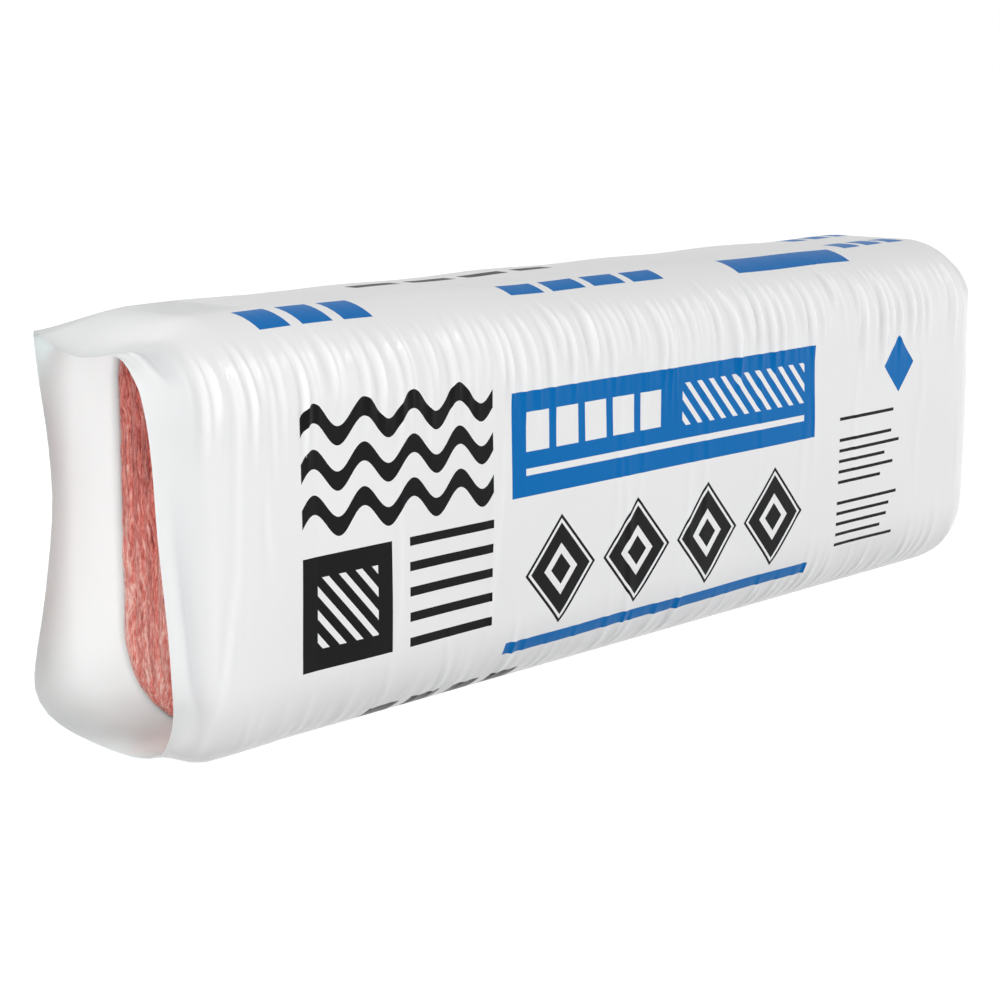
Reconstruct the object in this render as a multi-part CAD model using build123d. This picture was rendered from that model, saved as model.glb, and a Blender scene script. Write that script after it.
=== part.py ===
from build123d import *
import math
import os

os.makedirs("parts", exist_ok=True)

# A pack of faced glass-wool batts. Each batt is folded once at half its length, the folded
# batts stand on their long edges side by side, and a film sleeve holds them squeezed together.
# X runs along the pack from the open mouth to the closed end, Y across the stack, Z up.

# One batt
batt_count = 8
batt_length = 2438.0
batt_width = 406.0
ply_thickness = 15.3
facing_thickness = 0.6
facing_setback = 12.0

# The film sleeve
film_thickness = 1.2
squeeze_radius = 84.0
end_round = 82.0
mouth_overhang = 190.0
rim_slant = 76.0
rim_pinch = 20.0
rim_sag = 22.0
ear_radius = 24.0

# Fits between the pieces
bond_gap = 0.15
fold_gap = 0.3
batt_gap = 0.3
film_gap = 0.4

# Sizes that follow from those above
core_half = fold_gap / 2 + facing_thickness + bond_gap
fold_radius = core_half + ply_thickness
batt_pitch = 2 * fold_radius + batt_gap
stack_depth = batt_count * batt_pitch - batt_gap
wrap = film_thickness + film_gap
pack_depth = stack_depth + 2 * wrap
pack_height = batt_width + 2 * wrap

# Stations along the pack
cut_x = 0.0
end_x = cut_x + batt_length / 2 + wrap
rim_x = cut_x - mouth_overhang
flare_x = rim_x - mouth_overhang / 4


def across(x, inset, back_top, front_top, pinch, sag):
    """Face across the pack with rounded corners, drawn in at both sides and sagging on top."""
    side = pack_depth / 2 - inset
    low = inset
    high = pack_height - inset
    corners = [
        (side, low, squeeze_radius - inset),
        (side, high, back_top - inset),
        (-side, high, front_top - inset),
        (-side, low, squeeze_radius - inset),
    ]
    bends = []
    for y, z, radius in corners:
        into_y = -math.copysign(radius, y)
        into_z = radius if z == low else -radius
        near = 1 - math.sqrt(0.5)
        on_side = (x, y, z + into_z)
        on_level = (x, y + into_y, z)
        through = (x, y + near * into_y, z + near * into_z)
        bends.append((on_side, through, on_level))
    mid_z = (low + high) / 2
    back_low, back_high, front_high, front_low = bends
    edges = [
        ThreePointArc(back_low[2], back_low[1], back_low[0]),
        bow(back_low[0], (x, side - pinch, mid_z), back_high[0], pinch),
        ThreePointArc(back_high[0], back_high[1], back_high[2]),
        bow(back_high[2], (x, 0, high - sag), front_high[2], sag),
        ThreePointArc(front_high[2], front_high[1], front_high[0]),
        bow(front_high[0], (x, pinch - side, mid_z), front_low[0], pinch),
        ThreePointArc(front_low[0], front_low[1], front_low[2]),
        Line(front_low[2], back_low[2]),
    ]
    return make_face(edges)


def bow(start, through, end, depth):
    """A straight edge, or a bowed one where the film is drawn in."""
    if depth == 0:
        return Line(start, end)
    return ThreePointArc(start, through, end)


def body(inset):
    """The straight run of the pack with its rounded closed end, its skin moved in by inset."""
    face = across(cut_x, inset, squeeze_radius, squeeze_radius, 0, 0)
    run = extrude(face, end_x - inset - cut_x, dir=(1, 0, 0))
    closed = run.faces().sort_by(Axis.X)[-1]
    return fillet(closed.edges(), end_round - inset)


def mouth(inset):
    """The loose film past the batts, from the squeezed outline to the slack lip."""
    start = across(cut_x, inset, squeeze_radius, squeeze_radius, 0, 0)
    half = (squeeze_radius + ear_radius) / 2
    middle = across((cut_x + flare_x) / 2, inset, half, squeeze_radius, rim_pinch / 2, rim_sag / 3)
    lip = across(flare_x, inset, ear_radius, squeeze_radius, rim_pinch, rim_sag)
    return loft([start, middle, lip])


def end_reach(offset):
    """How far the closed end runs past its shoulder at this distance from the middle plane."""
    radius = end_round - wrap
    inward = min(max(stack_depth / 2 - offset, 0), radius)
    return math.sqrt(radius**2 - (radius - inward) ** 2)


def hairpin(start_x, bend_x, offset, outer, inner, bottom, top):
    """A sheet folded back on itself round a vertical bend."""
    length = bend_x - start_x
    leg = Pos((start_x + bend_x) / 2, offset) * Rectangle(length, 2 * outer)
    slot = Pos((start_x + bend_x) / 2, offset) * Rectangle(length, 2 * inner)
    bend = Pos(bend_x, offset)
    plan = leg + bend * Circle(outer) - slot - bend * Circle(inner)
    return Pos(0, 0, bottom) * extrude(plan, top - bottom)


# The sleeve, trimmed along a slanted mouth: its front lip stands out past its back lip
tube = body(0) - body(film_thickness)
collar = mouth(0) - mouth(film_thickness)
rim_line = Plane(
    origin=(rim_x + rim_slant / 2, 0, 0),
    x_dir=(-rim_slant, -pack_depth, 0),
    z_dir=(0, 0, 1),
)
past_rim = Pos(0, -mouth_overhang, 0) * Box(3 * pack_depth, 2 * mouth_overhang, 3 * pack_height)
sleeve = tube + (collar - rim_line * past_rim)

# The folded batts and their facings, trimmed to the rounded outline that the film squeezes them to
room = body(wrap)
pieces = {"film_sleeve": sleeve}
for index in range(batt_count):
    offset = (index - (batt_count - 1) / 2) * batt_pitch
    near = abs(offset)
    reach = min(
        end_reach(near),
        end_reach(near + 0.7 * fold_radius) + 0.3 * fold_radius,
        end_reach(near + fold_radius) + fold_radius,
    )
    bend_x = end_x - end_round + reach - fold_radius
    blanket = hairpin(cut_x, bend_x, offset, fold_radius, core_half, 0, pack_height)
    facing = hairpin(
        cut_x + facing_setback,
        bend_x,
        offset,
        core_half - bond_gap,
        fold_gap / 2,
        wrap + facing_setback,
        pack_height - wrap - facing_setback,
    )
    pieces[f"batt_{index + 1}"] = blanket & room
    pieces[f"kraft_facing_{index + 1}"] = facing & room

# The pack stands on its long narrow side, centred over the origin
box = sleeve.bounding_box()
centred = Pos(-(box.min.X + box.max.X) / 2, 0, -box.min.Z)
for name, shape in pieces.items():
    export_step(centred * shape, f"parts/{name}.step")
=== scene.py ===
"""A pack of faced glass-wool batts in an open film sleeve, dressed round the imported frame."""

import math

import bpy
import numpy as np
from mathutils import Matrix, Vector


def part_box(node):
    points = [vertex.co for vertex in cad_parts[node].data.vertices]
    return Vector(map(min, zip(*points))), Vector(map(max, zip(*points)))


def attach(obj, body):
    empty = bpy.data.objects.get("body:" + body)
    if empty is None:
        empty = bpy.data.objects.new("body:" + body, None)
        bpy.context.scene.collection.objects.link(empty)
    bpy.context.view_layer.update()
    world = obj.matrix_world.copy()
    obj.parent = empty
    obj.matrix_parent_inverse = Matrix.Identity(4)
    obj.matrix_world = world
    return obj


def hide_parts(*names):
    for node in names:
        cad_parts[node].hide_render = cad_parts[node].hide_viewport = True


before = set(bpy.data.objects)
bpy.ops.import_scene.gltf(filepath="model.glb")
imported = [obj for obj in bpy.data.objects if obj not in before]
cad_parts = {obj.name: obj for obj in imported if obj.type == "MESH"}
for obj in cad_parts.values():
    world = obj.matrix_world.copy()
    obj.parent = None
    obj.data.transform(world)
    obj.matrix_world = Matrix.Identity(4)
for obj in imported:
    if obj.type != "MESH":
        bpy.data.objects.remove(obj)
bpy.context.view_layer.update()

# Sizes read from the frame, in metres
sleeve_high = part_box("film_sleeve")[1]
cut_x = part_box("batt_4")[0].x
end_x = sleeve_high.x
half_depth = sleeve_high.y
height = sleeve_high.z

# Sizes repeated from the solids
squeeze_radius = 0.084
end_round = 0.082
wrap = 0.0016
batt_count = 8

shoulder_x = end_x - end_round
mid_height = height / 2


# Materials


class Socket:
    """An output in a node tree that takes part in Python arithmetic."""

    def __init__(self, finish, output):
        self.finish = finish
        self.output = output

    def __add__(self, other):
        return self.finish.math("ADD", self, other)

    __radd__ = __add__

    def __sub__(self, other):
        return self.finish.math("SUBTRACT", self, other)

    def __rsub__(self, other):
        return self.finish.math("SUBTRACT", other, self)

    def __mul__(self, other):
        return self.finish.math("MULTIPLY", self, other)

    __rmul__ = __mul__

    def __truediv__(self, other):
        return self.finish.math("DIVIDE", self, other)

    def __mod__(self, other):
        return self.finish.math("FLOORED_MODULO", self, other)

    def __abs__(self):
        return self.finish.math("ABSOLUTE", self)

    def __gt__(self, other):
        return self.finish.math("GREATER_THAN", self, other)

    def __lt__(self, other):
        return self.finish.math("LESS_THAN", self, other)


class Finish:
    """The node tree of one procedural material, or of the world."""

    def __init__(self, owner):
        self.owner = owner
        owner.use_nodes = True
        self.tree = owner.node_tree
        self.tree.nodes.clear()

    def node(self, kind, settings, sockets):
        """A node with its settings made first, then the values or links of its sockets."""
        made = self.tree.nodes.new(kind)
        for name, value in settings.items():
            if name == "stops":
                ramp = made.color_ramp.elements
                while len(ramp) < len(value):
                    ramp.new(0.5)
                for stop, (place, colour) in zip(ramp, value):
                    stop.position = place
                    stop.color = colour
            else:
                setattr(made, name, value)
        for name, value in sockets.items():
            if isinstance(value, Socket):
                self.tree.links.new(value.output, made.inputs[name])
            else:
                made.inputs[name].default_value = value
        return made

    def take(self, kind, settings, sockets, output=0):
        """One output of a new node."""
        return Socket(self, self.node(kind, settings, sockets).outputs[output])

    def math(self, operation, *values):
        return self.take("ShaderNodeMath", {"operation": operation}, dict(enumerate(values)))

    def limit(self, value):
        """The value kept between 0 and 1."""
        return self.take("ShaderNodeClamp", {}, {"Value": value})

    def attribute(self, name):
        settings = {"attribute_name": name, "attribute_type": "GEOMETRY"}
        return self.take("ShaderNodeAttribute", settings, {}, "Fac")

    def place(self, x, y, z):
        return self.take("ShaderNodeCombineXYZ", {}, {"X": x, "Y": y, "Z": z})

    def noise(self, vector, scale, detail=3.0, rough=0.5):
        sockets = {"Vector": vector, "Scale": scale, "Detail": detail, "Roughness": rough}
        return self.take("ShaderNodeTexNoise", {}, sockets, "Fac")

    def mix(self, share, first, second):
        return self.take("ShaderNodeMix", {"data_type": "RGBA"}, {0: share, 6: first, 7: second}, 2)

    def ramp(self, share, stops):
        return self.take("ShaderNodeValToRGB", {"stops": stops}, {"Fac": share})

    def bump(self, height, strength, distance, normal=None):
        sockets = {"Height": height, "Strength": strength, "Distance": distance}
        if normal is not None:
            sockets["Normal"] = normal
        return self.take("ShaderNodeBump", {}, sockets)

    def surface(self, sockets, glow_through=None):
        """The Principled shader that closes the material, part of it letting soft light through."""
        shader = self.take("ShaderNodeBsdfPrincipled", {}, sockets)
        if glow_through is not None:
            veil = self.take("ShaderNodeBsdfTranslucent", {}, {"Color": THROUGH_FILM})
            shader = self.take("ShaderNodeMixShader", {}, {0: glow_through, 1: shader, 2: veil})
        self.node("ShaderNodeOutputMaterial", {}, {"Surface": shader})
        return self.owner

    def rays(self):
        """Whether a ray comes from the camera, from a gloss, or through something clear."""
        path = self.node("ShaderNodeLightPath", {}, {})
        names = ("Is Camera Ray", "Is Glossy Ray", "Is Transmission Ray")
        return [Socket(self, path.outputs[name]) for name in names]

    def parts(self, vector):
        """The three numbers of a vector."""
        split = self.node("ShaderNodeSeparateXYZ", {}, {"Vector": vector})
        return [Socket(self, split.outputs[axis]) for axis in "XYZ"]


BLUE_INK = (0.0, 0.150, 0.46, 1)
BLACK_INK = (0.007, 0.007, 0.008, 1)
FILM_DULL = (0.83, 0.83, 0.835, 1)
FILM_CLEAN = (0.87, 0.87, 0.875, 1)
# Painted highlight for the crests of creases and painted shade for the hollows beside them
FILM_PAINTED_HIGHLIGHT = (0.98, 0.98, 0.985, 1)
FILM_PAINTED_SHADE = (0.73, 0.73, 0.74, 1)
# Lining colours: tinted cool against the pink light bounced off the wool, and painted lighter on
# the base as painted light
LINING_WALL = (0.77, 0.86, 0.86, 1)
LINING_BASE_PAINTED_LIGHT = (0.87, 0.97, 0.97, 1)
THROUGH_FILM = (0.92, 0.92, 0.92, 1)

# Sizes of the print that repeat, in metres
STRIPE_PITCH, STRIPE_WIDTH = 0.022, 0.009
WAVE_LENGTH, WAVE_SWING, WAVE_HALF = 0.0667, 0.012, 0.009
WAVE_LEVELS = (0.320, 0.362, 0.404)
RULE_PITCH, RULE_WIDTH = 0.0246, 0.0090
TILE_PITCH, TILE_LEVEL = 0.128, 0.218
NOTE_PITCH, NOTE_WIDTH = 0.0125, 0.0038
NOTE_GROUP = 6 * NOTE_PITCH
BACK_SHIFT = 0.032


def sleeve_print(f, along, rise, behind):
    """Where the blue and the black print lie, by distance along the sleeve and by height."""

    def bar(x0, x1, y0, y1):
        return (along > x0) * (along < x1) * (rise > y0) * (rise < y1)

    def marks(x0, x1, y0, y1, pitch, length):
        """A row of short bars."""
        return bar(x0, x1, y0, y1) * (((along - x0) % pitch) < length)

    def stripes(shift):
        """Slanted stripes."""
        return ((along + rise + shift) % STRIPE_PITCH) < STRIPE_WIDTH

    level = rise - f.math("SINE", (along + 0.02) * (2 * math.pi / WAVE_LENGTH)) * WAVE_SWING
    on_wave = sum(abs(level - at) < WAVE_HALF for at in WAVE_LEVELS)
    waves = (along > -0.02) * (along < 0.247) * on_wave
    block = bar(-0.02, 0.10, 0.177, 0.284) * (1 - bar(0.0, 0.08, 0.197, 0.264) * stripes(0.0165))
    rules = bar(0.125, 0.247, 0.177, 0.284) * (((rise - 0.177) % RULE_PITCH) < RULE_WIDTH)
    tile = abs(((along - 0.290) % TILE_PITCH) - TILE_PITCH / 2) + abs(rise - TILE_LEVEL)
    tiles = bar(0.290, 0.802, 0.13, 0.31) * ((tile < 0.048) + (tile < 0.057) * (tile > 0.0525))
    tile_ring = (tile < 0.027) * (tile > 0.016)
    lines = ((rise % NOTE_PITCH) < NOTE_WIDTH) * ((rise % NOTE_GROUP) > NOTE_PITCH)
    ragged = f.noise(f.place(f.math("FLOOR", rise / NOTE_PITCH), 0.5, 0.0), 3.7, 0.0)
    notes = bar(0.872, 1.025, 0.150, 0.322) * lines * (along < 0.93 + ragged * 0.12)
    low_marks = marks(0.10, 0.34, 0.085, 0.108, 0.060, 0.042)
    back_marks = behind * marks(0.178, 0.488, girth_top - 0.030, girth_top - 0.012, 0.085, 0.066)
    black = waves + block + rules + tiles * (1 - tile_ring) + notes + low_marks + back_marks

    panel = bar(0.275, 0.818, 0.300, 0.406)
    bare = bar(0.297, 0.796, 0.321, 0.328)
    bare = bare + bar(0.560, 0.796, 0.342, 0.388) * stripes(0.0155)
    bare = bare + marks(0.297, 0.522, 0.345, 0.385, 0.0475, 0.036)
    thin = bar(0.275, 0.818, 0.138, 0.152)
    crown = marks(-0.03, 0.13, 0.505, 0.545, 0.055, 0.040)
    crown = crown + marks(0.33, 0.60, 0.512, 0.536, 0.068, 0.054)
    crown = crown + bar(0.72, 0.95, 0.505, 0.541)
    crown = crown + marks(0.985, 1.13, 0.538, 0.570, 0.05, 0.036)
    badge = (abs(along - 1.000) + abs(rise - 0.368)) < 0.034
    blue = panel * (1 - f.math("MINIMUM", bare, 1.0)) + thin + crown + badge
    return f.math("MINIMUM", blue, 1.0), f.math("MINIMUM", black, 1.0)


def film_finish():
    """Glossy white film with a blue and black print that runs round the sleeve."""
    f = Finish(bpy.data.materials.new("printed_film"))
    run = f.attribute("run")
    girth = f.attribute("girth")
    lining = f.attribute("lining")
    stretch = f.attribute("stretch")
    rise = girth_top - abs(girth - girth_top)
    past = run - cut_x
    behind = girth > girth_top
    blue, black = sleeve_print(f, past - BACK_SHIFT * behind, rise, behind)
    outside = (1 - lining) * (1 - behind * (past < 0.002))
    blue_ink, black_ink = blue * outside, black * outside

    # Light comes through the slack film past the batts, at the back most of all beside the wool
    at_back = f.limit((girth - girth_top + 0.05) / 0.10)
    beside_wool = f.limit((0.004 - past) / 0.012) * (0.56 - 0.32 * f.limit((-0.055 - past) / 0.05))
    front_lip = f.limit((-0.13 - past) / 0.05) * 0.44
    off_base = f.limit((rise - 0.02) / 0.10)
    veil = (beside_wool * at_back + front_lip * (1 - at_back)) * off_base

    sheen = f.noise(f.place(run * 60, girth * 7, 0.0), 1.0, 4.0, 0.6)
    cloud = f.noise(f.place(run * 5, girth * 5, 0.3), 1.0, 2.0)
    film = f.mix(cloud, FILM_DULL, FILM_CLEAN)
    # Painted highlight: crease crests painted lighter; painted shade: the hollow before each crest
    # painted darker
    film = f.mix(f.limit(stretch * 1.1) * 0.9, film, FILM_PAINTED_HIGHLIGHT)
    film = f.mix(f.limit(stretch * -2.2) * 0.8, film, FILM_PAINTED_SHADE)
    # Inside the mouth the lining is painted cool against the wool's pink bounce, and painted
    # lighter low down as painted light on the inside floor
    inner = f.mix(f.limit((0.10 - rise) / 0.05), LINING_WALL, LINING_BASE_PAINTED_LIGHT)
    film = f.mix(lining, film, inner)
    film = f.mix(blue_ink, film, BLUE_INK)
    film = f.mix(black_ink, film, BLACK_INK)
    fine = f.noise(f.place(run * 220, girth * 16, 0.0), 1.0, 3.0, 0.55)
    ripple = f.bump(sheen, 0.22, 0.0015)
    skin = f.bump(fine, 0.08, 0.0006, ripple)
    return f.surface(
        {
            "Base Color": film,
            "Roughness": 0.26 + sheen * 0.16,
            "Normal": skin,
            "Coat Weight": 0.60 - 0.55 * f.math("MAXIMUM", blue_ink, black_ink),
            "Coat Roughness": 0.13,
            "Specular IOR Level": 0.06,
        },
        veil,
    )


def wool_finish():
    """Pink glass wool: matted strands that run up the cut face."""
    f = Finish(bpy.data.materials.new("glass_wool"))
    where = f.take("ShaderNodeTexCoord", {}, {}, "Object")
    x, y, z = f.parts(where)
    wander = f.noise(where, 14.0, 2.0) * 0.02
    strands = f.noise(f.place(x * 120, (y + wander) * 720, z * 85), 1.0, 5.0, 0.70)
    layers = f.noise(f.place(x * 30, (y + wander) * 130, z * 9), 1.0, 4.0, 0.55)
    clots = f.noise(f.place(x * 160, y * 420, z * 210), 1.0, 3.0)
    # Painted shade: the wool is painted darker towards the top of the cut face and paler low down
    painted_height_shade = 0.030 - 0.056 * f.limit((z - 0.13) / 0.12)
    tone = strands * 0.60 + layers * 0.26 + clots * 0.14 + painted_height_shade
    stops = [
        (0.37, (0.27, 0.040, 0.034, 1)),
        (0.44, (0.63, 0.135, 0.108, 1)),
        (0.52, (0.83, 0.285, 0.236, 1)),
        (0.61, (0.97, 0.64, 0.57, 1)),
    ]
    nap = f.bump(strands, 0.8, 0.003)
    return f.surface(
        {
            "Base Color": f.ramp(tone, stops),
            "Roughness": 0.8 + clots * 0.15,
            "Normal": nap,
            "Sheen Weight": 0.15,
            "Sheen Roughness": 0.6,
        }
    )


def kraft_finish():
    """Brown kraft paper with short fibres and a faint asphalt mottle."""
    f = Finish(bpy.data.materials.new("kraft_paper"))
    where = f.take("ShaderNodeTexCoord", {}, {}, "Object")
    x, y, z = f.parts(where)
    fibre = f.noise(f.place(x * 90, y * 400, z * 600), 1.0, 4.0, 0.6)
    mottle = f.noise(where, 30.0, 3.0)
    stops = [
        (0.30, (0.20, 0.115, 0.055, 1)),
        (0.52, (0.33, 0.205, 0.105, 1)),
        (0.72, (0.45, 0.30, 0.17, 1)),
    ]
    return f.surface(
        {
            "Base Color": f.ramp(fibre * 0.6 + mottle * 0.4, stops),
            "Roughness": 0.62 + mottle * 0.25,
            "Normal": f.bump(fibre, 0.3, 0.0008),
        }
    )


# Shapes


def piece(name, points, faces, material):
    """A smooth mesh object of its own."""
    mesh = bpy.data.meshes.new(name)
    mesh.from_pydata(np.asarray(points, float).tolist(), [], np.asarray(faces).tolist())
    mesh.polygons.foreach_set("use_smooth", [True] * len(mesh.polygons))
    mesh.materials.append(material)
    made = bpy.data.objects.new(name, mesh)
    bpy.context.scene.collection.objects.link(made)
    return made


def grid_faces(rows, columns, first=0):
    """Quads over a grid of points stored row by row."""
    index = first + np.arange(rows * columns).reshape(rows, columns)
    corners = (index[:-1, :-1], index[:-1, 1:], index[1:, 1:], index[1:, :-1])
    return np.stack(corners, -1).reshape(-1, 4)


def smooth(t):
    """An even rise from 0 to 1 as t does."""
    t = np.clip(t, 0.0, 1.0)
    return t * t * (3 - 2 * t)


def bell(t):
    """A soft hump round t = 0."""
    return np.exp(-(t**2))


# The sleeve's outline is followed once round from the middle of the base: up the printed front,
# over the top and down the back
SPAN_ROWS = (4, 14, 14, 16, 8, 12, 10, 10, 4)
spans = np.concatenate([np.full(n, k) for k, n in enumerate(SPAN_ROWS)] + [[len(SPAN_ROWS) - 1]])
shares = np.concatenate([np.arange(n) / n for n in SPAN_ROWS] + [[1.0]])


def outline(inset):
    """Points (y, z) across the pack, one for each row, with the skin moved in by inset."""
    side = half_depth - inset
    low, high = inset, height - inset
    radius = squeeze_radius - inset
    flat = side - radius
    lower, upper = low + radius, high - radius
    quarter = np.pi / 2 * shares
    cos, sin = np.cos(quarter), np.sin(quarter)
    y_of = [
        -flat * shares,
        -flat - radius * sin,
        -side + 0 * shares,
        -flat - radius * cos,
        -flat + 2 * flat * shares,
        flat + radius * sin,
        side + 0 * shares,
        flat + radius * cos,
        flat * (1 - shares),
    ]
    z_of = [
        low + 0 * shares,
        lower - radius * cos,
        lower + (upper - lower) * shares,
        upper + radius * sin,
        high + 0 * shares,
        upper + radius * cos,
        upper - (upper - lower) * shares,
        lower - radius * sin,
        low + 0 * shares,
    ]
    return np.choose(spans, y_of), np.choose(spans, z_of)


body_y, body_z = outline(0.0)
girth_rows = np.concatenate([[0], np.cumsum(np.hypot(np.diff(body_y), np.diff(body_z)))])
girth_whole = girth_rows[-1]
girth_top = girth_whole / 2

# The slack lip of the mouth, once round in the same sense, with x from the batts' cut ends
LIP = [
    (-0.1167, -0.004, 0.001),
    (-0.1197, -0.020, 0.003),
    (-0.1227, -0.035, 0.006),
    (-0.1277, -0.050, 0.012),
    (-0.1320, -0.064, 0.019),
    (-0.1470, -0.091, 0.040),
    (-0.1577, -0.108, 0.066),
    (-0.1677, -0.118, 0.093),
    (-0.1697, -0.117, 0.138),
    (-0.1767, -0.114, 0.227),
    (-0.1827, -0.114, 0.306),
    (-0.1907, -0.112, 0.354),
    (-0.1927, -0.104, 0.370),
    (-0.1907, -0.090, 0.381),
    (-0.1847, -0.070, 0.383),
    (-0.1737, -0.033, 0.379),
    (-0.1690, -0.007, 0.377),
    (-0.1557, 0.029, 0.379),
    (-0.1337, 0.072, 0.382),
    (-0.1180, 0.108, 0.385),
    (-0.1067, 0.128, 0.386),
    (-0.1057, 0.127, 0.362),
    (-0.1047, 0.125, 0.339),
    (-0.0997, 0.120, 0.273),
    (-0.0987, 0.118, 0.216),
    (-0.1087, 0.120, 0.130),
    (-0.1187, 0.123, 0.073),
    (-0.1217, 0.122, 0.045),
    (-0.1197, 0.112, 0.027),
    (-0.1167, 0.100, 0.017),
    (-0.1157, 0.080, 0.010),
    (-0.1147, 0.060, 0.006),
    (-0.1147, 0.030, 0.002),
]

# The ear at the back is drawn out of the top, so its points belong further up the girth: where they
# lie past the middle of the top, and where they belong
EAR_LIES = (0.0, 0.029, 0.081, 0.114, 0.125, 0.143, 0.165, 0.232)
EAR_BELONGS = (0.0, 0.026, 0.050, 0.064, 0.074, 0.105, 0.145, 0.232)


def closed_curve(at, points, where):
    """A smooth closed curve through points, read at the girths in where."""
    order = np.argsort(at)
    at, points = at[order], points[order]
    at = np.concatenate([at[-2:] - girth_whole, at, at[:2] + girth_whole])
    points = np.concatenate([points[-2:], points, points[:2]])
    slope = (points[2:] - points[:-2]) / (at[2:] - at[:-2])[:, None]
    k = np.clip(np.searchsorted(at, where, "right") - 1, 1, len(at) - 3)
    step = (at[k + 1] - at[k])[:, None]
    t = (where - at[k])[:, None] / step
    first, last = slope[k - 1] * step, slope[k] * step
    return (
        (2 * t**3 - 3 * t**2 + 1) * points[k]
        + (t**3 - 2 * t**2 + t) * first
        + (3 * t**2 - 2 * t**3) * points[k + 1]
        + (t**3 - t**2) * last
    )


def lip_rows():
    """The lip's point for each row of the sleeve."""
    lip = np.array(LIP) + (cut_x, 0, 0)
    fine = np.linspace(0, girth_whole, 1500)
    loop = np.stack([np.interp(fine, girth_rows, side) for side in (body_y, body_z)], -1)
    off = ((lip[:, None, 1:] - loop[None]) ** 2).sum(-1)
    at = fine[off.argmin(1)]
    past_top = at - girth_top
    on_ear = (past_top > 0) & (past_top < EAR_LIES[-1])
    at = np.where(on_ear, girth_top + np.interp(past_top, EAR_LIES, EAR_BELONGS), at)
    return closed_curve(at, lip, girth_rows % girth_whole)


# Columns of film points along the mouth, the straight run, the rounded end and the flat of the end
MOUTH_COLUMNS = 110
RUN_COLUMNS = 740
ROUND_COLUMNS = 44
END_COLUMNS = 12
# Half the length of the closed end's seam
SEAM_HALF = 0.11


def sleeve_surface():
    """Grid of film points, rows round the pack and columns from the lip to the closed end."""
    rows = len(girth_rows)
    start = np.stack([np.full(rows, cut_x), body_y, body_z], -1)
    lip = lip_rows()
    front_from = np.where(body_z < mid_height, 0.035, 0.075)
    front = smooth((-body_y - front_from) / 0.05)[:, None]
    back = smooth((body_y - 0.075) / 0.05)[:, None]
    crown = smooth((body_z - 0.36) / 0.045)[:, None]
    columns, runs = [], []
    for s in 1 - np.linspace(0, 1, MOUTH_COLUMNS + 1)[:-1] ** 1.3:
        slack = crown * smooth((s - 0.42) / 0.58) + (1 - crown) * s**2
        turned_in = front * np.clip((s - 0.70) / 0.30, 0, 1) ** 2 + (1 - front) * slack
        share = np.concatenate([np.full((rows, 1), s), turned_in, turned_in], 1)
        belly = (0.009 * back - 0.003 * front) * math.sin(math.pi * s)
        columns.append(start + (lip - start) * share + belly * (0, 1, 0))
        runs.append(columns[-1][:, 0])
    for x in np.linspace(cut_x, shoulder_x, RUN_COLUMNS)[:-1]:
        columns.append(np.stack([np.full(rows, x), body_y, body_z], -1))
        runs.append(columns[-1][:, 0])
    for turn in np.linspace(0, np.pi / 2, ROUND_COLUMNS):
        inset = end_round * (1 - math.cos(turn))
        y, z = outline(inset)
        x = shoulder_x + end_round * math.sin(turn)
        columns.append(np.stack([np.full(rows, x), y, z], -1))
        runs.append(np.full(rows, shoulder_x + end_round * turn))
    seam = np.clip(columns[-1][:, 2], mid_height - SEAM_HALF, mid_height + SEAM_HALF)
    closing = np.stack([np.full(rows, end_x), 0 * seam, seam], -1)
    last_run = runs[-1]
    edge = columns[-1]
    for share in np.linspace(0, 1, END_COLUMNS)[1:]:
        columns.append(edge + (closing - edge) * share)
        runs.append(last_run + share * half_depth)
    return np.stack(columns, 1), np.stack(runs, 1)


def outward(points):
    """Unit normals of a grid of points, pointing away from the pack's middle."""
    across = np.gradient(points, axis=0)
    along = np.gradient(points, axis=1)
    normal = np.cross(along, across)
    size = np.linalg.norm(normal, axis=-1, keepdims=True)
    return normal / np.maximum(size, 1e-12)


# The rise of a crease at which its painted highlight or painted shade is full
PAINTED_CREASE_FULL_RISE = 0.004


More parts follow.
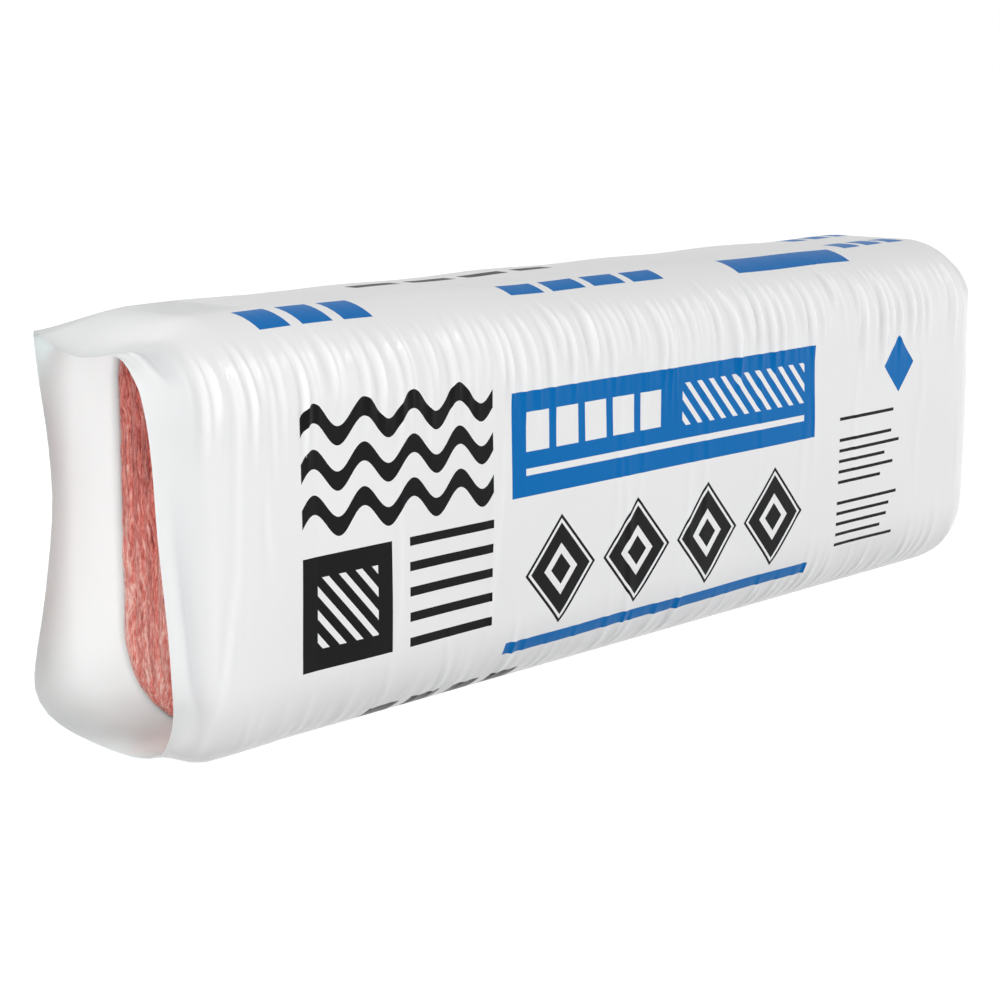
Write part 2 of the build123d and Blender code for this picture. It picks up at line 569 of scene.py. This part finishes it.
def film_relief(runs, rng):
    """How far the film stands out or in, and how much painted highlight or painted shade the
    creases that follow the girth give it.
    """
    girth = np.repeat(girth_rows[:, None], runs.shape[1], 1)
    relief, stretch = np.zeros_like(runs), np.zeros_like(runs)
    lip_run = runs[:, :1]

    def crease(middle, half_length, at, lean, bow, depth, width, start=0):
        """One fold that follows the girth, steep on one side, with a hollow before it."""
        r0, r1 = np.searchsorted(girth_rows, (middle - half_length, middle + half_length))
        away = (runs - start)[r0:r1] - at
        reach = abs(lean) * half_length + abs(bow) + 8 * width
        near = np.nonzero((np.abs(away) < reach).any(0))[0]
        if r1 - r0 < 2 or len(near) < 2:
            return
        c0, c1 = near[0], near[-1] + 1
        g, x = girth[r0:r1, c0:c1], away[:, c0:c1]
        t = (g - middle) / half_length
        q = (x - lean * (g - middle) - bow * t * t) / width
        slope = np.abs(q / np.where(q > 0, 1.8, 1.0)) ** 1.3
        fold = np.exp(-slope) - 0.5 * np.exp(-((q + 1.9) ** 2) / 2.2)
        rise = depth * (1 - t * t) ** 1.5 * fold
        relief[r0:r1, c0:c1] += rise
        # The amount of painted highlight (crest) or painted shade (hollow) follows the crease's
        # rise
        stretch[r0:r1, c0:c1] += rise / PAINTED_CREASE_FULL_RISE

    # Rows of creases over the long corners, in front and then at the back
    last = shoulder_x + 0.050
    for shoulder, side, dense, deep, first, wide in (
        (girth_top - 0.106, 1, 64, 0.0050, cut_x - 0.150, 1.0),
        (girth_top - 0.112, 1, 70, 0.0018, cut_x - 0.150, 0.75),
        (0.060, -1, 70, 0.0028, cut_x - 0.145, 1.15),
        (girth_top + 0.106, -1, 64, 0.0050, cut_x + 0.005, 1.0),
        (girth_top + 0.112, -1, 70, 0.0018, cut_x + 0.005, 0.75),
        (girth_whole - 0.060, 1, 70, 0.0028, cut_x + 0.005, 1.15),
    ):
        for step in range(dense):
            share = (step + rng.uniform(0, 0.8)) / dense
            at = first + (last - first) * share
            half = 0.032 + 0.036 * rng.random() ** 1.4
            middle = shoulder + rng.normal(0, 0.006) - side * half
            depth = deep * (0.25 + 0.75 * rng.random() ** 1.3) * (0.75 + 0.4 * share)
            depth = depth * smooth((last + 0.03 - at) / 0.08)
            width = wide * rng.uniform(0.0025, 0.0040)
            crease(middle, half, at, rng.normal(0, 0.03), rng.normal(0, 0.003), depth, width)

    # Faint creases down the middle of both sides
    for _ in range(40):
        middle = rng.choice([0.31, girth_whole - 0.31]) + rng.uniform(-0.06, 0.06)
        at = rng.uniform(cut_x - (0.14 if middle < girth_top else -0.01), last)
        half = rng.uniform(0.05, 0.14)
        crease(middle, half, at, rng.normal(0, 0.06), rng.normal(0, 0.006), 0.0008, 0.0035)

    # The band along the front lip, and a long slack crease beside it
    crease(0.235, 0.150, 0.016, -0.035, 0.003, -0.0026, 0.0045, lip_run)
    crease(0.225, 0.085, cut_x - 0.112, 0.20, 0.0, 0.0016, 0.0032)

    # The gathered corner of the lip
    corner = girth_top - 0.110
    crease(corner + 0.010, 0.034, 0.007, -0.05, 0.003, 0.0016, 0.0016, lip_run)
    crease(corner + 0.002, 0.034, 0.013, -0.05, 0.003, 0.0018, 0.0018, lip_run)
    crease(corner - 0.004, 0.032, 0.024, -0.05, 0.002, -0.0036, 0.0055, lip_run)

    # The swollen lower corner of the mouth
    bulge = 0.005 * bell((girth - 0.095) / 0.035) * smooth((runs - cut_x + 0.17) / 0.04)
    relief += bulge * smooth((cut_x + 0.05 - runs) / 0.12)

    # Slow waves all over, and the fullness of the corners and the sides
    swell = 0
    for _ in range(14):
        wave_run, wave_girth = rng.uniform(9, 34), rng.integers(1, 7)
        phase = rng.uniform(0, 6.28)
        swell = swell + rng.uniform(0.15, 0.5) * np.sin(
            wave_run * runs + wave_girth * 2 * np.pi * girth / girth_whole + phase
        )
    relief += 0.0007 * swell
    for shoulder in (girth_top - 0.155, girth_top + 0.155):
        relief += 0.0018 * bell((girth - shoulder) / 0.045) * smooth((runs - cut_x + 0.05) / 0.06)
    full = 0.0030 * np.sin(np.pi * np.clip((girth - 0.16) / 0.28, 0, 1))
    full += 0.0030 * np.sin(np.pi * np.clip((girth_whole - girth - 0.16) / 0.28, 0, 1))
    relief += full * smooth((runs - cut_x) / 0.12) * smooth((end_x - runs) / 0.12)

    # Over the batts the film can't sink into the wool
    return np.where(runs > cut_x - 0.01, np.maximum(relief, -0.0008), relief), stretch


# The lining's distance from the skin, which is also the skin's from the floor
SKIN = 0.0004
# How many columns the lining reaches in over the batts
LINING_LAP = 8


def film_sleeve(material):
    """The film: its skin from lip to closed end, and its lining from the lip back to the batts."""
    points, runs = sleeve_surface()
    normal = outward(points)
    relief, stretch = film_relief(runs, np.random.default_rng(41))
    off_floor = smooth(points[..., 2] / 0.04)
    points = points + normal * (relief * off_floor)[..., None]
    points[..., 2] = np.maximum(points[..., 2], SKIN)
    rows, columns = runs.shape
    lining_columns = MOUTH_COLUMNS + LINING_LAP
    lining = points[:, :lining_columns] - outward(points)[:, :lining_columns] * SKIN
    lining[:, 0] = points[:, 0]
    faces = grid_faces(rows, columns)[:, ::-1]
    inner = grid_faces(rows, lining_columns, rows * columns)
    every = np.concatenate([points.reshape(-1, 3), lining.reshape(-1, 3)])
    made = piece("sleeve_film", every, np.concatenate([faces, inner]), material)
    girth = np.repeat(girth_rows[:, None], columns, 1)
    inside = np.zeros(len(every))
    inside[rows * columns :] = 1
    # The last attribute carries the painted crease highlight and painted shade
    for name, values in (
        ("run", np.concatenate([runs.ravel(), runs[:, :lining_columns].ravel()])),
        ("girth", np.concatenate([girth.ravel(), girth[:, :lining_columns].ravel()])),
        ("lining", inside),
        ("stretch", np.concatenate([stretch.ravel(), 0 * stretch[:, :lining_columns].ravel()])),
    ):
        layer = made.data.attributes.new(name, "FLOAT", "POINT")
        layer.data.foreach_set("value", values.astype(np.float32))
    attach(made, "root")
    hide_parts("film_sleeve")


def drawn_in(x):
    """How far the rounded closed end draws the pack's outline in at x."""
    past = np.clip(x - shoulder_x, 0, end_round - wrap)
    return end_round - wrap - np.sqrt((end_round - wrap) ** 2 - past**2)


def half_width(z, inset):
    """Half the pack's depth inside the film at height z, with the outline drawn in by inset."""
    radius = squeeze_radius - wrap - inset
    near = np.clip(np.minimum(z, height - z) - wrap - inset, 0, radius)
    return half_depth - squeeze_radius + np.sqrt(radius**2 - (radius - near) ** 2)


def squeezed(y, z, inset):
    """Where wool that starts at y ends up when the film presses its edges round."""
    room = half_depth - wrap
    press = np.clip(half_width(z, inset) / room, 0.35, 1.0)
    return y * (1 - (1 - press) * np.abs(y) / room)


def lattice(rng, shape, cells):
    """Smooth random values over a grid, with that many cells each way."""
    values = rng.random((cells[0] + 2, cells[1] + 2))
    u = np.linspace(0, cells[0], shape[0])
    v = np.linspace(0, cells[1], shape[1])
    i, j = u.astype(int), v.astype(int)
    s, t = smooth(u - i)[:, None], smooth(v - j)[None]
    a, b = values[np.ix_(i, j)], values[np.ix_(i, j + 1)]
    c, d = values[np.ix_(i + 1, j)], values[np.ix_(i + 1, j + 1)]
    return (a * (1 - t) + b * t) * (1 - s) + (c * (1 - t) + d * t) * s


def wool_heights(y, inset):
    """Lowest and highest wool at this distance from the pack's middle plane."""
    z = np.linspace(wrap + inset, height - wrap - inset, 400)
    inside = z[np.abs(squeezed(y, z, inset)) <= half_width(z, inset)]
    return inside.min(), inside.max()


# Half the slit that holds the facing, and the wool's distance from its neighbours and from the film
FOLD_CORE = 0.0009
BATT_CLEAR = 0.0001
FILM_CLEAR = 0.001
# Points along the legs and up the height of a batt, and across and up the cut end of a ply
LEG_POINTS, HEIGHT_POINTS = 40, 40
CUT_ACROSS, CUT_UP = 12, 150
# How far a cut end swells out, and how rough it is
CUT_SWELL, CUT_ROUGH = 0.0045, 0.0030


def folded_batt(index, material):
    """One batt: two plies joined by a soft fold, each with a matted, slightly swollen cut end."""
    rng = np.random.default_rng(900 + index)
    low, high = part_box(f"batt_{index}")
    y0, y1 = low.y, high.y
    middle = (y0 + y1) / 2
    bend = (y1 - y0) / 2
    bend_x = high.x - bend
    points, faces = [], []

    def add(grid):
        rows, columns = grid.shape[:2]
        faces.append(grid_faces(rows, columns, sum(len(p) for p in points)))
        points.append(grid.reshape(-1, 3))

    def sheet(radius, flip):
        """One side of the folded blanket, from cut end round the fold to the other cut end."""
        straight = np.linspace(cut_x, bend_x, LEG_POINTS)
        arc = np.linspace(-np.pi / 2, np.pi / 2, 14)[1:-1]
        leg = np.full(LEG_POINTS, radius)
        x = np.concatenate([straight, bend_x + radius * np.cos(arc), straight[::-1]])
        y = np.concatenate([middle - leg, middle + radius * np.sin(arc), middle + leg])
        grid = np.zeros((len(x), HEIGHT_POINTS, 3))
        for k in range(len(x)):
            inset = drawn_in(x[k]) + FILM_CLEAR
            bottom, top = wool_heights(y[k], inset)
            z = np.linspace(bottom, top, HEIGHT_POINTS)
            grid[k, :, 0] = x[k]
            grid[k, :, 1] = squeezed(np.full(HEIGHT_POINTS, y[k]), z, inset)
            grid[k, :, 2] = z
        return grid[:, ::-1] if flip else grid

    outer, inner = sheet(bend - BATT_CLEAR, False), sheet(FOLD_CORE, True)
    add(outer)
    add(inner)
    add(np.stack([outer[:, 0], inner[:, -1]], 1))
    add(np.stack([inner[:, 0], outer[:, -1]], 1))
    for side in (-1, 1):
        across = np.linspace(FOLD_CORE, bend - BATT_CLEAR, CUT_ACROSS) * side + middle
        size = (CUT_ACROSS, CUT_UP)
        grid = np.zeros((*size, 3))
        streak = lattice(rng, size, (7, 16)) + 0.6 * lattice(rng, size, (11, 48))
        for k, y in enumerate(across):
            bottom, top = wool_heights(y, FILM_CLEAR)
            z = np.linspace(bottom, top, CUT_UP)
            t = k / (CUT_ACROSS - 1)
            pillow = CUT_SWELL * (1 - abs(2 * t - 1) ** 2.5)
            pillow = pillow * smooth((z - bottom) / 0.02) * smooth((top - z) / 0.02)
            rough = (streak[k] - 0.8) * CUT_ROUGH * (4 * t * (1 - t)) ** 0.5
            grid[k, :, 0] = cut_x - pillow - rough
            grid[k, :, 1] = squeezed(np.full(CUT_UP, y), z, FILM_CLEAR)
            grid[k, :, 2] = z
        add(grid if side < 0 else grid[:, ::-1])
        add_strands(grid, rng, points, faces)
    every = np.concatenate(points)
    made = piece(f"wool_batt_{index}", every, np.concatenate(faces), material)
    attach(made, "root")
    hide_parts(f"batt_{index}")


STRANDS = 70
STRAND_POINTS = 6


def add_strands(grid, rng, points, faces):
    """Loose glass strands that lie up the cut end of one ply."""
    rows, columns = grid.shape[:2]
    steps = np.arange(STRAND_POINTS) / (STRAND_POINTS - 1)
    for _ in range(STRANDS):
        r = rng.uniform(1, rows - 2)
        c = rng.uniform(3, columns - 22)
        length = rng.uniform(6, 18)
        turn = rng.normal(0, 0.12)
        bow = rng.normal(0, 0.25) * np.sin(np.pi * steps)
        at_r = np.clip(r + turn * length * steps + bow, 0, rows - 1.01)
        at_c = c + length * steps
        i, j = at_r.astype(int), at_c.astype(int)
        s, t = (at_r - i)[:, None], (at_c - j)[:, None]
        lower = grid[i, j] * (1 - s) + grid[i + 1, j] * s
        upper = grid[i, j + 1] * (1 - s) + grid[i + 1, j + 1] * s
        line = lower * (1 - t) + upper * t
        line[:, 0] -= 0.0006 + rng.uniform(0, 0.0022) * np.sin(np.pi * steps)
        width = rng.uniform(0.00025, 0.0006) * (1 - 0.7 * steps[:, None])
        ribbon = np.stack([line - width * (0, 1, 0), line + width * (0.4, 1, 0)], 1)
        faces.append(grid_faces(STRAND_POINTS, 2, sum(len(p) for p in points)))
        points.append(ribbon.reshape(-1, 3))


film_sleeve(film_finish())
wool = wool_finish()
for number in range(1, batt_count + 1):
    folded_batt(number, wool)
kraft = kraft_finish()
for number in range(1, batt_count + 1):
    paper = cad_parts[f"kraft_facing_{number}"]
    paper.data.materials.clear()
    paper.data.materials.append(kraft)


# Stage: pale floor, soft light and the camera


def floor_finish():
    """Pale floor that keeps a soft shadow and reads as white to the eye."""
    f = Finish(bpy.data.materials.new("pale_floor"))
    camera_ray, glossy_ray, clear_ray = f.rays()
    seen = f.math("MAXIMUM", camera_ray, f.math("MAXIMUM", glossy_ray, clear_ray))
    diffuse = f.take("ShaderNodeBsdfDiffuse", {}, {"Color": (0.42, 0.42, 0.42, 1)})
    glow = f.take("ShaderNodeEmission", {}, {"Color": (1, 1, 1, 1), "Strength": 1.93})
    both = f.take("ShaderNodeMixShader", {}, {0: seen * 0.5, 1: diffuse, 2: glow})
    f.node("ShaderNodeOutputMaterial", {}, {"Surface": both})
    return f.owner


FLOOR_REACH = 60
corners = [(x * FLOOR_REACH, y * FLOOR_REACH, 0) for x, y in ((-1, -1), (1, -1), (1, 1), (-1, 1))]
floor = piece("floor", corners, [(0, 1, 2, 3)], floor_finish())


# The sky's strength as light, and how much of the white that is seen shows in a gloss
SKY_LIGHT = 0.27
SKY_IN_GLOSS = 0.5


def studio_sky():
    """Even pale surroundings that read as white where they are seen directly."""
    world = bpy.data.worlds.new("studio")
    bpy.context.scene.world = world
    f = Finish(world)
    camera_ray, glossy_ray, clear_ray = f.rays()
    direct = f.math("MAXIMUM", camera_ray, clear_ray)
    seen = f.math("MAXIMUM", direct, glossy_ray * SKY_IN_GLOSS)
    strength = f.take("ShaderNodeMapRange", {}, {"Value": seen, "To Min": SKY_LIGHT, "To Max": 1.0})
    sky = f.take("ShaderNodeBackground", {}, {"Color": (1, 1, 1, 1), "Strength": strength})
    f.node("ShaderNodeOutputWorld", {}, {"Surface": sky})


def softbox(name, place, aim, size, watts, mirrored=False):
    """A soft lamp, which the gloss of the film mirrors or not."""
    lamp = bpy.data.lights.new(name, "AREA")
    lamp.shape = "RECTANGLE"
    lamp.size, lamp.size_y = size
    lamp.energy = watts
    made = bpy.data.objects.new(name, lamp)
    made.visible_glossy = mirrored
    made.location = place
    made.rotation_euler = (Vector(aim) - Vector(place)).to_track_quat("-Z", "Y").to_euler()
    bpy.context.scene.collection.objects.link(made)


studio_sky()
softbox("key", (-5.4, -4.8, 0.7), (0.0, 0.0, 0.2), (5.0, 2.2), 276)
softbox("fill", (4.6, -3.8, 0.7), (0.4, 0.0, 0.2), (5.0, 2.2), 178)
softbox("strip", (1.97, -2.9, 3.31), (0.3, 0.0, 0.3), (0.35, 2.0), 24, True)
softbox("far_strip", (3.24, -1.92, 3.31), (0.5, 0.0, 0.3), (0.35, 2.0), 12, True)
softbox("mouth", (cut_x - 1.30, -0.55, 0.95), (cut_x - 0.06, 0.05, 0.06), (0.8, 0.8), 8)
softbox("back", (0.0, 3.6, 3.2), (0.0, 0.0, 0.25), (5.0, 2.4), 130)
softbox("through", (-1.6, 3.2, 1.0), (cut_x, 0.0, 0.2), (2.0, 1.6), 36)

camera_data = bpy.data.cameras.new("camera")
camera_data.sensor_width = 36.0
camera_data.lens = 92.35
camera = bpy.data.objects.new("camera", camera_data)
camera.location = (cut_x - 1.6479, -1.7370, 0.6448)
aim = Vector((cut_x + 0.41706, 0, 0.16903))
camera.rotation_euler = (aim - camera.location).to_track_quat("-Z", "Y").to_euler()
bpy.context.scene.collection.objects.link(camera)
bpy.context.scene.camera = camera
bpy.context.scene.view_settings.view_transform = "Standard"
